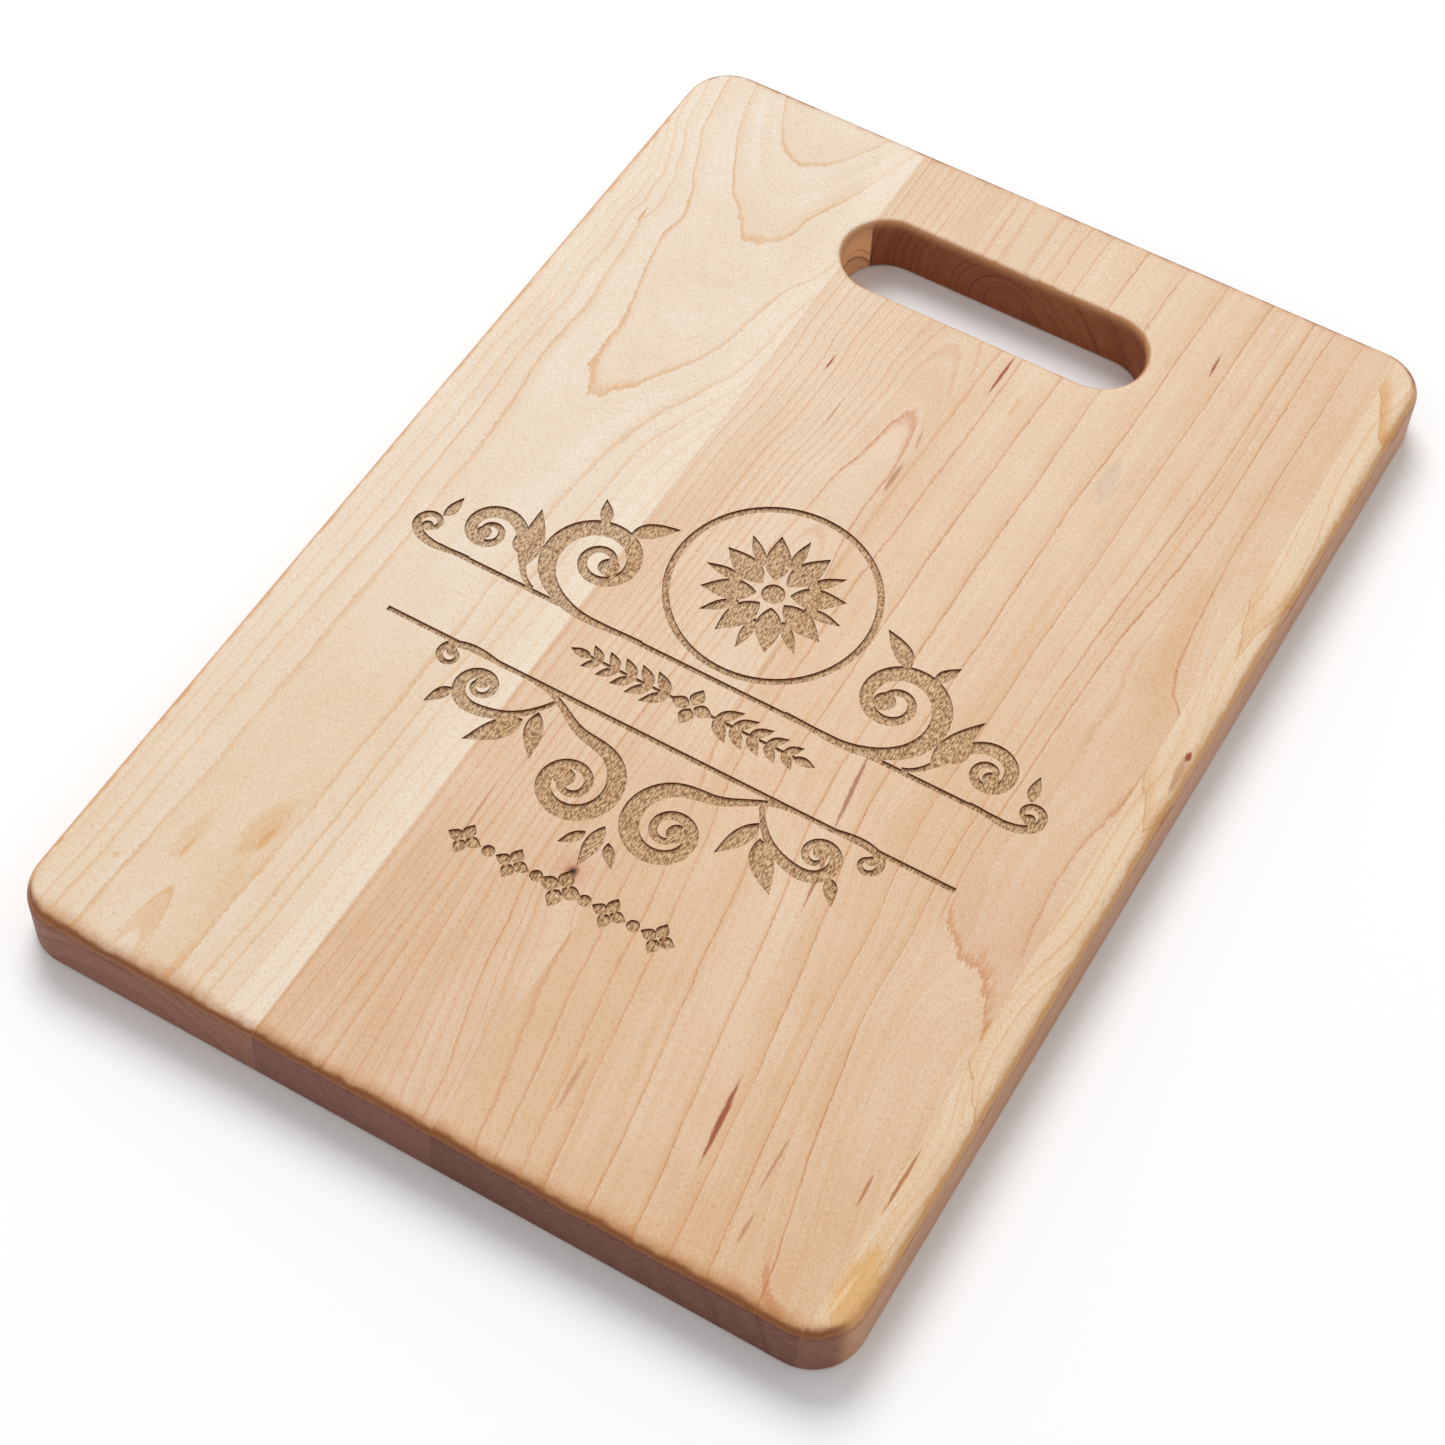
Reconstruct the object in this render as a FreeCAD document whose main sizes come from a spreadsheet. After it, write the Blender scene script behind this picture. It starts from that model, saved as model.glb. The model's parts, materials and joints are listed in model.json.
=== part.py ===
import FreeCAD, Part
import Sketcher
import math
import os

# Edge-glued maple cutting board with a hand hole and an engraved scroll ornament.
#
# Frame, in millimetres: X across the board, Y along it towards the hand hole, Z up.
# The origin is the centre of the underside. Four full-length staves lie side by side along Y
# and are butt-glued on their edges. The hand hole is cut through the finished panel, so it
# leaves the second stave, and the two glue films beside it, in a front and a back piece.

SIZES = {
    # panel
    "board_length": 355.6,
    "board_width": 241.3,
    "board_thick": 19.05,
    "corner_round": 14.5,
    "top_round": 3.6,
    "under_round": 1.2,
    # hand hole: a slot with round ends, centred across the board
    "hole_length": 96.6,
    "hole_width": 27.5,
    "hole_from_end": 44.4,
    "hole_top_round": 2.3,
    # widths of the first three staves; the fourth takes what is left
    "stave_one": 75.8,
    "stave_two": 51.9,
    "stave_three": 102.8,
    "glue_film": 0.1,
    # engraving, measured from the board's centre
    "cut_depth": 0.7,
    "ornament_shift": -2.2,
    "upper_rule": -25.9,
    "lower_rule": -50.9,
    "rule_half": 86.5,
    "rule_wide": 1.6,
    "ring_centre": 7.3,
    "ring_radius": 30.3,
    "ring_wide": 2.0,
    "sprig_row": -36.5,
    "flower_row": -102.3,
}

# The blank is cut into nodes by boxes: node, left and right edge, front and back end, engraved.
# An edge is a distance from the board's left side, and the ends split at the middle of the hole.
SEAM_ONE = "stave_one"
SEAM_TWO = "stave_one + Sizes.stave_two"
SEAM_THREE = "stave_one + Sizes.stave_two + Sizes.stave_three"
NODES = [
    ("left_stave", None, SEAM_ONE, "whole", True),
    ("middle_stave_front", SEAM_ONE, SEAM_TWO, "front", True),
    ("middle_stave_back", SEAM_ONE, SEAM_TWO, "back", False),
    ("wide_stave", SEAM_TWO, SEAM_THREE, "whole", True),
    ("edge_stave", SEAM_THREE, None, "whole", False),
    ("left_glue_line_front", SEAM_ONE, SEAM_ONE, "front", True),
    ("left_glue_line_back", SEAM_ONE, SEAM_ONE, "back", False),
    ("middle_glue_line_front", SEAM_TWO, SEAM_TWO, "front", True),
    ("middle_glue_line_back", SEAM_TWO, SEAM_TWO, "back", False),
    ("edge_glue_line", SEAM_THREE, SEAM_THREE, "whole", False),
]

# Scrolls of one half of the ornament. x runs out from its axis and y from the row's rule:
# start and heading of the stem; centre, outer and inner radius of the volute; the angle at which
# the stem meets it; turns; width at the root, at the belly and at the tip; radius of the bud.
UPPER_SCROLLS = [
    ((22.0, 0.3), 0, (45.5, 18.5), 16.6, 2.8, -72, 1.75, 1, (1.6, 5.6, 2.2), 3.0),
    ((57.0, 0.8), 20, (77.0, 11.3), 8.6, 1.8, 140, 1.5, -1, (1.4, 4.2, 1.8), 2.2),
    ((77.0, 0.4), 0, (92.3, 5.6), 4.6, 1.5, -70, 1.0, 1, (1.4, 2.8, 1.6), 1.7),
]
LOWER_SCROLLS = [
    ((39.0, -0.3), 180, (14.6, -22.5), 14.0, 2.5, 84, 1.8, 1, (1.6, 5.4, 2.1), 2.9),
    ((31.0, -2.5), -60, (51.0, -9.0), 7.2, 1.6, -105, 1.5, 1, (1.4, 3.9, 1.7), 2.1),
    ((47.0, -0.3), 0, (63.5, -4.6), 3.9, 1.4, 75, 1.0, -1, (1.4, 2.5, 1.4), 1.5),
]

# Leaves of the same half: base, direction in degrees, length, width, sideways lean at the tip.
UPPER_LEAVES = [
    ((63.5, 5.0), 84, 21.0, 6.6, -0.16),
    ((66.0, 9.0), 52, 9.5, 4.0, 0.25),
    ((43.5, 30.0), 128, 14.0, 5.4, 0.22),
    ((51.5, 29.6), 75, 9.0, 3.8, -0.20),
    ((91.0, 9.2), 112, 8.5, 3.4, -0.20),
]
LOWER_LEAVES = [
    ((36.0, -12.0), -62, 17.0, 6.4, 0.16),
    ((33.5, -8.0), -105, 15.0, 5.2, -0.12),
    ((56.5, -13.2), -45, 9.0, 3.8, -0.20),
    ((3.4, -33.4), -62, 8.0, 3.2, 0.15),
]
PENDANT_LEAF = ((0.0, -29.5), -90, 14.0, 4.6, 0.0)

# Petals: distance of the root from the flower's centre, length, width.
PETALS = 8
BUTTON_RADIUS = 3.3
BROAD_PETAL = (4.6, 15.5, 7.2)
NARROW_PETAL = (9.5, 11.5, 3.4)
SPRIG_PETAL = (0.6, 5.8, 4.2)
LARGE_PETAL = (0.5, 5.8, 4.4)
SMALL_PETAL = (0.4, 4.6, 3.6)
SMALL_PETALS = 4

# The sprig's twig runs from its start to its end on each side, with leaves in pairs that shrink
# outwards and one more leaf at the tip.
TWIG_START = 5.0
TWIG_END = 32.0
TWIG_WIDE = 1.0
SPRIG_PAIRS = 5
FIRST_PAIR = 7.0
PAIR_PITCH = 5.2
LEAF_LEAN = 42
LEAF_LENGTH = (8.4, -0.6)
LEAF_WIDTH = (3.5, -0.2)
TIP_LEAF = ((31.0, 0.0), 0, 6.5, 3.0)

# The row below: beads and small flowers in turn.
FLOWER_STEPS = 4
FLOWER_PITCH = 7.2
BEAD_RADIUS = 1.8


def make_sheet(doc):
    """Write the driving dimensions into a spreadsheet, one alias a row."""
    sheet = doc.addObject("Spreadsheet::Sheet", "Sizes")
    for row, (alias, value) in enumerate(SIZES.items(), start=1):
        sheet.set(f"A{row}", alias)
        sheet.set(f"B{row}", str(value))
        sheet.setAlias(f"B{row}", alias)
    doc.recompute()
    return sheet


def new_sketch(body, name):
    """A sketch on the body's own XY plane."""
    plane = next(item for item in body.Origin.OriginFeatures if item.Role == "XY_Plane")
    sketch = body.newObject("Sketcher::SketchObject", name)
    sketch.AttachmentSupport = [(plane, "")]
    sketch.MapMode = "FlatFace"
    return sketch


def panel_sketch(body):
    """A rectangle centred on the origin."""
    sketch = new_sketch(body, "panel_outline")
    # Drawn at a rough size first: the constraints below bring it to the sheet's.
    corners = [(-100, -150), (100, -150), (100, 150), (-100, 150)]
    for index, start in enumerate(corners):
        end = corners[(index + 1) % 4]
        sketch.addGeometry(Part.LineSegment(FreeCAD.Vector(*start, 0), FreeCAD.Vector(*end, 0)), False)
    for index in range(4):
        sketch.addConstraint(Sketcher.Constraint("Coincident", index, 2, (index + 1) % 4, 1))
        side = "Horizontal" if index % 2 == 0 else "Vertical"
        sketch.addConstraint(Sketcher.Constraint(side, index))
    sketch.addConstraint(Sketcher.Constraint("Symmetric", 0, 1, 2, 1, -1, 1))
    wide = sketch.addConstraint(Sketcher.Constraint("DistanceX", 0, 1, 0, 2, 200))
    long = sketch.addConstraint(Sketcher.Constraint("DistanceY", 1, 1, 1, 2, 300))
    sketch.setExpression(f"Constraints[{wide}]", "Sizes.board_width")
    sketch.setExpression(f"Constraints[{long}]", "Sizes.board_length")
    return sketch


def hole_sketch(body):
    """A slot with round ends across the board, near the far end."""
    sketch = new_sketch(body, "hand_hole_outline")
    # Drawn at a rough size first: the constraints below bring it to the sheet's.
    half, radius, centre = 35, 14, 130
    up = FreeCAD.Vector(0, 0, 1)
    for side, turn in ((1, -math.pi / 2), (-1, math.pi / 2)):
        circle = Part.Circle(FreeCAD.Vector(side * half, centre, 0), up, radius)
        sketch.addGeometry(Part.ArcOfCircle(circle, turn, turn + math.pi), False)
    for side in (1, -1):
        start = FreeCAD.Vector(side * half, centre + side * radius, 0)
        end = FreeCAD.Vector(-side * half, centre + side * radius, 0)
        sketch.addGeometry(Part.LineSegment(start, end), False)
    right, left, far, near = 0, 1, 2, 3
    for arc, arc_end, line, line_end in ((right, 2, far, 1), (left, 1, far, 2),
                                         (left, 2, near, 1), (right, 1, near, 2)):
        sketch.addConstraint(Sketcher.Constraint("Tangent", arc, arc_end, line, line_end))
    sketch.addConstraint(Sketcher.Constraint("Horizontal", far))
    sketch.addConstraint(Sketcher.Constraint("Symmetric", right, 3, left, 3, -2))
    reach = sketch.addConstraint(Sketcher.Constraint("DistanceX", left, 3, right, 3, 2 * half))
    bend = sketch.addConstraint(Sketcher.Constraint("Radius", right, radius))
    place = sketch.addConstraint(Sketcher.Constraint("DistanceY", -1, 1, right, 3, centre))
    sketch.setExpression(f"Constraints[{reach}]", "Sizes.hole_length - Sizes.hole_width")
    sketch.setExpression(f"Constraints[{bend}]", "Sizes.hole_width / 2")
    sketch.setExpression(f"Constraints[{place}]", "Sizes.board_length / 2 - Sizes.hole_from_end")
    return sketch


def edge_names(shape, wanted):
    """Names of the edges that wanted(edge) accepts."""
    return [f"Edge{index}" for index, edge in enumerate(shape.Edges, start=1) if wanted(edge)]


def add_round(body, base, name, radius, wanted):
    """Fillet the chosen edges of the last feature with a radius from the sheet."""
    rounding = body.newObject("PartDesign::Fillet", name)
    rounding.Base = (base, edge_names(base.Shape, wanted))
    rounding.setExpression("Radius", radius)
    body.Document.recompute()
    return rounding


def make_blank(doc, sizes):
    """The glued panel before it is divided: pad, corner rounds, hand hole, eased edges."""
    body = doc.addObject("PartDesign::Body", "panel_blank")
    pad = body.newObject("PartDesign::Pad", "panel_pad")
    pad.Profile = panel_sketch(body)
    pad.setExpression("Length", "Sizes.board_thick")
    doc.recompute()
    corners = add_round(body, pad, "corner_rounds", "Sizes.corner_round",
                        lambda edge: abs(edge.tangentAt(edge.FirstParameter).z) > 0.9)
    solid_panel = corners.Shape.Volume

    pocket = body.newObject("PartDesign::Pocket", "hand_hole")
    pocket.Profile = hole_sketch(body)
    pocket.Type = "ThroughAll"
    pocket.Midplane = True
    doc.recompute()
    radius = sizes["hole_width"] / 2
    straight = sizes["hole_length"] - sizes["hole_width"]
    slot = (straight * 2 * radius + math.pi * radius ** 2) * sizes["board_thick"]
    if abs(solid_panel - pocket.Shape.Volume - slot) > 1e-3 * slot:
        raise RuntimeError("the hand hole did not remove its own volume")

    top = sizes["board_thick"]
    half_long = sizes["board_length"] / 2
    centre = half_long - sizes["hole_from_end"]

    def at_level(edge, level):
        return abs(edge.BoundBox.ZMin - level) < 1e-6 and abs(edge.BoundBox.ZMax - level) < 1e-6

    def in_hole(edge):
        middle = edge.CenterOfMass
        return abs(middle.y - centre) < radius + 1 and abs(middle.x) < sizes["hole_length"] / 2 + 1

    rims = add_round(body, pocket, "hand_hole_rim", "Sizes.hole_top_round",
                     lambda edge: at_level(edge, top) and in_hole(edge))
    outer = add_round(body, rims, "top_edge", "Sizes.top_round",
                      lambda edge: at_level(edge, top) and not in_hole(edge))
    under = add_round(body, outer, "under_edges", "Sizes.under_round",
                      lambda edge: at_level(edge, 0.0))
    body.Tip = under
    doc.recompute()
    return body


def bezier(start, heading, end, arrival, pull, count):
    """Points of a cubic that leaves start along heading and nears end along arrival."""
    reach = pull * math.dist(start, end)
    first = (start[0] + reach * math.cos(heading), start[1] + reach * math.sin(heading))
    second = (end[0] - reach * math.cos(arrival), end[1] - reach * math.sin(arrival))
    points = []
    for step in range(count):
        f = step / count
        g = 1 - f
        points.append(tuple(g ** 3 * start[k] + 3 * g * g * f * first[k]
                            + 3 * g * f * f * second[k] + f ** 3 * end[k] for k in (0, 1)))
    return points


def scroll_line(start, heading, centre, outer, inner, entry, turns, sense):
    """Centre line of a stem that winds up into a logarithmic volute."""
    entry = math.radians(entry)
    shrink = math.log(inner / outer) / (2 * math.pi * turns)
    count = round(12 * turns)
    volute = []
    for step in range(count + 1):
        turned = 2 * math.pi * turns * step / count
        radius = outer * math.exp(shrink * turned)
        angle = entry + sense * turned
        volute.append((centre[0] + radius * math.cos(angle), centre[1] + radius * math.sin(angle)))
    across = (math.cos(entry), math.sin(entry))
    along = (-sense * across[1], sense * across[0])
    arrival = math.atan2(shrink * across[1] + along[1], shrink * across[0] + along[0])
    stem_points = max(4, round(math.dist(start, volute[0]) / 4))
    stem = bezier(start, math.radians(heading), volute[0], arrival, 0.4, stem_points)
    return stem + volute


def half_widths(line, root, belly, tip):
    """Half widths along a centre line: thin at the root, full in the belly, thin at the tip."""
    peak = 0.45
    run = [0.0]
    for here, there in zip(line, line[1:]):
        run.append(run[-1] + math.dist(here, there))
    halves = []
    for distance in run:
        f = distance / run[-1]
        if f < peak:
            swell = 0.5 - 0.5 * math.cos(math.pi * f / peak)
            halves.append(0.5 * (root + (belly - root) * swell))
        else:
            swell = 0.5 - 0.5 * math.cos(math.pi * (f - peak) / (1 - peak))
            halves.append(0.5 * (belly + (tip - belly) * swell))
    return halves


def ribbon_sides(line, halves):
    """The two sides of a stroke of varying width."""
    sides = ([], [])
    last = len(line) - 1
    for index, (x, y) in enumerate(line):
        before = line[max(index - 1, 0)]
        after = line[min(index + 1, last)]
        length = math.dist(before, after)
        normal = ((before[1] - after[1]) / length, (after[0] - before[0]) / length)
        for side, points in zip((1, -1), sides):
            points.append((x + side * halves[index] * normal[0], y + side * halves[index] * normal[1]))
    return sides


def leaf_sides(base, direction, length, width, lean=0.0):
    """The two sides of a pointed leaf, from its base to its tip."""
    count = 7
    turn = math.radians(direction)
    along = (math.cos(turn), math.sin(turn))
    sides = ([], [])
    for side, points in zip((1, -1), sides):
        for step in range(count + 1):
            f = step / count
            out = side * 0.5 * width * math.sin(math.pi * f ** 0.8) + lean * length * f * f
            points.append((base[0] + along[0] * length * f - along[1] * out,
                           base[1] + along[1] * length * f + along[0] * out))
    return sides


class Cutter:
    """Collects flat faces for the engraving, mirrored about the ornament's axis when asked."""

    def __init__(self, axis):
        self.axis = axis
        self.faces = []

    def spline(self, points, mirror, row):
        """A smooth edge through the points, placed on the board."""
        curve = Part.BSplineCurve()
        curve.interpolate([FreeCAD.Vector(self.axis + mirror * x, row + y, 0) for x, y in points])
        return curve.toShape()

    def stroke(self, sides, mirror, row):
        """A face between two smooth sides; open ends are closed with straight edges."""
        first, second = (self.spline(points, mirror, row) for points in sides)
        edges = [first, second]
        for vertex in (0, -1):
            near = first.Vertexes[vertex].Point
            far = second.Vertexes[vertex].Point
            if near.distanceToPoint(far) > 1e-4:
                edges.append(Part.LineSegment(near, far).toShape())
        wire = Part.Wire(Part.__sortEdges__(edges))
        self.faces.append(Part.Face(wire))

    def disc(self, centre, radius, mirror, row):
        """A round face."""
        middle = FreeCAD.Vector(self.axis + mirror * centre[0], row + centre[1], 0)
        circle = Part.Circle(middle, FreeCAD.Vector(0, 0, 1), radius)
        self.faces.append(Part.Face(Part.Wire(circle.toShape())))


def cut_scrolls(cutter, scrolls, leaves, row):
    """One row of volutes and leaves on both sides of the axis."""
    for mirror in (1, -1):
        for start, heading, centre, outer, inner, entry, turns, sense, widths, bud in scrolls:
            line = scroll_line(start, heading, centre, outer, inner, entry, turns, sense)
            cutter.stroke(ribbon_sides(line, half_widths(line, *widths)), mirror, row)
            cutter.disc(line[-1], bud, mirror, row)
        for leaf in leaves:
            cutter.stroke(leaf_sides(*leaf), mirror, row)


def cut_flower(cutter, centre, count, petal, row, turn=0.0):
    """A ring of equal petals."""
    root, length, width = petal
    for index in range(count):
        direction = turn + 360 * index / count
        angle = math.radians(direction)
        base = (centre[0] + root * math.cos(angle), centre[1] + root * math.sin(angle))
        cutter.stroke(leaf_sides(base, direction, length, width), 1, row)


def cut_sprig(cutter, row):
    """A small flower with a leafy twig on each side."""
    cut_flower(cutter, (0, 0), SMALL_PETALS, SPRIG_PETAL, row)
    spans = 3
    twig = [(TWIG_START + (TWIG_END - TWIG_START) * step / spans, 0.0) for step in range(spans + 1)]
    for mirror in (1, -1):
        cutter.stroke(ribbon_sides(twig, [TWIG_WIDE / 2] * len(twig)), mirror, row)
        for index in range(SPRIG_PAIRS):
            base = (FIRST_PAIR + PAIR_PITCH * index, 0.0)
            length, width = (first + change * index for first, change in (LEAF_LENGTH, LEAF_WIDTH))
            for lean in (LEAF_LEAN, -LEAF_LEAN):
                cutter.stroke(leaf_sides(base, lean, length, width), mirror, row)
        cutter.stroke(leaf_sides(*TIP_LEAF), mirror, row)


def cut_flower_row(cutter, row):
    """Small flowers and beads in turn, on both sides of a larger flower."""
    cut_flower(cutter, (0, 0), SMALL_PETALS, LARGE_PETAL, row)
    for mirror in (1, -1):
        for index in range(1, FLOWER_STEPS + 1):
            centre = (mirror * FLOWER_PITCH * index, 0.0)
            if index % 2:
                cutter.disc(centre, BEAD_RADIUS, 1, row)
            else:
                cut_flower(cutter, centre, SMALL_PETALS, SMALL_PETAL, row)


def make_engraving(doc, sizes):
    """The cutter: rules and ring as primitives, scrolls and flowers as drawn prisms."""
    cutter = Cutter(sizes["ornament_shift"])
    cut_scrolls(cutter, UPPER_SCROLLS, UPPER_LEAVES, sizes["upper_rule"])
    cut_scrolls(cutter, LOWER_SCROLLS, LOWER_LEAVES, sizes["lower_rule"])
    cutter.stroke(leaf_sides(*PENDANT_LEAF), 1, sizes["lower_rule"])
    rosette = sizes["ring_centre"]
    cutter.disc((0, 0), BUTTON_RADIUS, 1, rosette)
    cut_flower(cutter, (0, 0), PETALS, BROAD_PETAL, rosette, 180 / PETALS)
    cut_flower(cutter, (0, 0), PETALS, NARROW_PETAL, rosette)
    cut_sprig(cutter, sizes["sprig_row"])
    cut_flower_row(cutter, sizes["flower_row"])

    drawn = doc.addObject("Part::Feature", "drawn_ornament")
    flat = cutter.faces[0].multiFuse(cutter.faces[1:]).removeSplitter()
    above = 1.0
    drawn.Shape = flat.extrude(FreeCAD.Vector(0, 0, sizes["cut_depth"] + above))
    floor = "Sizes.board_thick - Sizes.cut_depth"
    drawn.setExpression("Placement.Base.z", floor)

    tools = [drawn]
    for name, row in (("upper_rule_slot", "upper_rule"), ("lower_rule_slot", "lower_rule")):
        slot = doc.addObject("Part::Box", name)
        slot.setExpression("Length", "2 * Sizes.rule_half")
        slot.setExpression("Width", "Sizes.rule_wide")
        slot.setExpression("Height", f"Sizes.cut_depth + {above}")
        slot.setExpression("Placement.Base.x", "Sizes.ornament_shift - Sizes.rule_half")
        slot.setExpression("Placement.Base.y", f"Sizes.{row} - Sizes.rule_wide / 2")
        slot.setExpression("Placement.Base.z", floor)
        tools.append(slot)

    discs = []
    for name, radius in (("ring_outside", "Sizes.ring_radius"),
                         ("ring_inside", "Sizes.ring_radius - Sizes.ring_wide")):
        disc = doc.addObject("Part::Cylinder", name)
        disc.setExpression("Radius", radius)
        disc.setExpression("Height", f"Sizes.cut_depth + {above}")
        disc.setExpression("Placement.Base.x", "Sizes.ornament_shift")
        disc.setExpression("Placement.Base.y", "Sizes.ring_centre")
        disc.setExpression("Placement.Base.z", floor)
        discs.append(disc)
    ring = doc.addObject("Part::Cut", "ring_groove")
    ring.Base, ring.Tool = discs
    tools.append(ring)

    engraving = doc.addObject("Part::MultiFuse", "engraving")
    engraving.Shapes = tools
    doc.recompute()
    return engraving


def make_slab(doc, name, left, right, ends):
    """A box over one node's share of the panel. A film lies astride its seam, half on each side."""
    slab = doc.addObject("Part::Box", f"{name}_slab")
    inwards, outwards = ("-", "+") if left == right else ("+", "-")
    low = f"Sizes.{left} {inwards} Sizes.glue_film / 2" if left else "0"
    high = f"Sizes.{right} {outwards} Sizes.glue_film / 2" if right else "Sizes.board_width"
    middle = "(Sizes.board_length / 2 - Sizes.hole_from_end)"
    near = middle if ends == "back" else "(-Sizes.board_length / 2)"
    far = middle if ends == "front" else "(Sizes.board_length / 2)"
    slab.setExpression("Length", f"({high}) - ({low})")
    slab.setExpression("Width", f"{far} - {near}")
    slab.setExpression("Height", "Sizes.board_thick")
    slab.setExpression("Placement.Base.x", f"({low}) - Sizes.board_width / 2")
    slab.setExpression("Placement.Base.y", near)
    return slab


def make_node(doc, blank, engraving, name, left, right, ends, engraved):
    """One stave or glue film: its share of the panel, less the engraving."""
    share = doc.addObject("Part::Common", f"{name}_share" if engraved else name)
    share.Base = blank
    share.Tool = make_slab(doc, name, left, right, ends)
    if not engraved:
        return share
    piece = doc.addObject("Part::Cut", name)
    piece.Base = share
    piece.Tool = engraving
    return piece


def check(doc, nodes):
    """Stop if any object failed or any node is not one valid closed solid."""
    for item in doc.Objects:
        if "Invalid" in item.State or "Error" in item.State:
            raise RuntimeError(f"{item.Name} did not compute: {item.State}")
    for node in nodes:
        shape = node.Shape
        if shape.isNull() or not shape.isValid() or len(shape.Solids) != 1:
            raise RuntimeError(f"{node.Label} is not one valid solid")


def main():
    doc = FreeCAD.newDocument("cutting_board")
    sheet = make_sheet(doc)
    sizes = {alias: float(sheet.get(alias)) for alias in SIZES}
    blank = make_blank(doc, sizes)
    engraving = make_engraving(doc, sizes)
    nodes = []
    for name, left, right, ends, engraved in NODES:
        node = make_node(doc, blank, engraving, name, left, right, ends, engraved)
        node.Label = name
        nodes.append(node)
    doc.recompute()
    check(doc, nodes)
    os.makedirs("parts", exist_ok=True)
    for node in nodes:
        node.Shape.exportStep(f"parts/{node.Label}.step")
        print(f"{node.Label}: {node.Shape.Volume:.1f} mm3, {len(node.Shape.Faces)} faces")


main()
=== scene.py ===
import json
import math

import bpy
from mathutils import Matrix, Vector


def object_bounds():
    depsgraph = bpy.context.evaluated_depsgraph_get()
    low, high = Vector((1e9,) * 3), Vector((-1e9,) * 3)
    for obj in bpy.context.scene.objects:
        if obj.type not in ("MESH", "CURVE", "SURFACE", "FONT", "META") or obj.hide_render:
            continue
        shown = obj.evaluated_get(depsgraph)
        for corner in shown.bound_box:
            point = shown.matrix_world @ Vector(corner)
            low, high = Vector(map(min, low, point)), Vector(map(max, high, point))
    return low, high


# Looks of the maple cutting board: a solid wood material for each stave, glue, floor, light, camera.
#
# Lengths are millimetres. Wood figure is placed by two rulers laid on the board's top face: across
# runs from the left side (x) and along runs from the front end (y). deep is measured down from the
# top face, so every face of a stave cuts the same growth rings.

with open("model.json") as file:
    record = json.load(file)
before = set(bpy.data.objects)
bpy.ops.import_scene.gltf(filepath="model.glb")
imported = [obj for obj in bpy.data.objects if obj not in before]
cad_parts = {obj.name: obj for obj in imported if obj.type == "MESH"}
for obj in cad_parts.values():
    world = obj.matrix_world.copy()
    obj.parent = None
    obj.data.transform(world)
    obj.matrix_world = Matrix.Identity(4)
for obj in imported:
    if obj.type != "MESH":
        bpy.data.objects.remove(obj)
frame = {"nodes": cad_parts, "record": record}
cad_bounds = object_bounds()

MM = 0.001
LOW, HIGH = (Vector(corner) / MM for corner in cad_bounds)
TOP = HIGH.z

# The engraving is cut this deep, inside this part of the top face (x and y, low and high).
CUT_DEPTH = 0.7
CARVED_X = (-106.0, 102.0)
CARVED_Y = (-118.0, 48.0)

# The hand hole lies inside this, along and across.
HOLE_ALONG = (290.0, 332.0)
HOLE_ACROSS = (40.0, 200.0)


def srgb(red, green, blue):
    """A linear colour from 8-bit display values."""
    channels = []
    for value in (red, green, blue):
        c = value / 255
        channels.append(c / 12.92 if c <= 0.04045 else ((c + 0.055) / 1.055) ** 2.4)
    return (*channels, 1.0)


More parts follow.
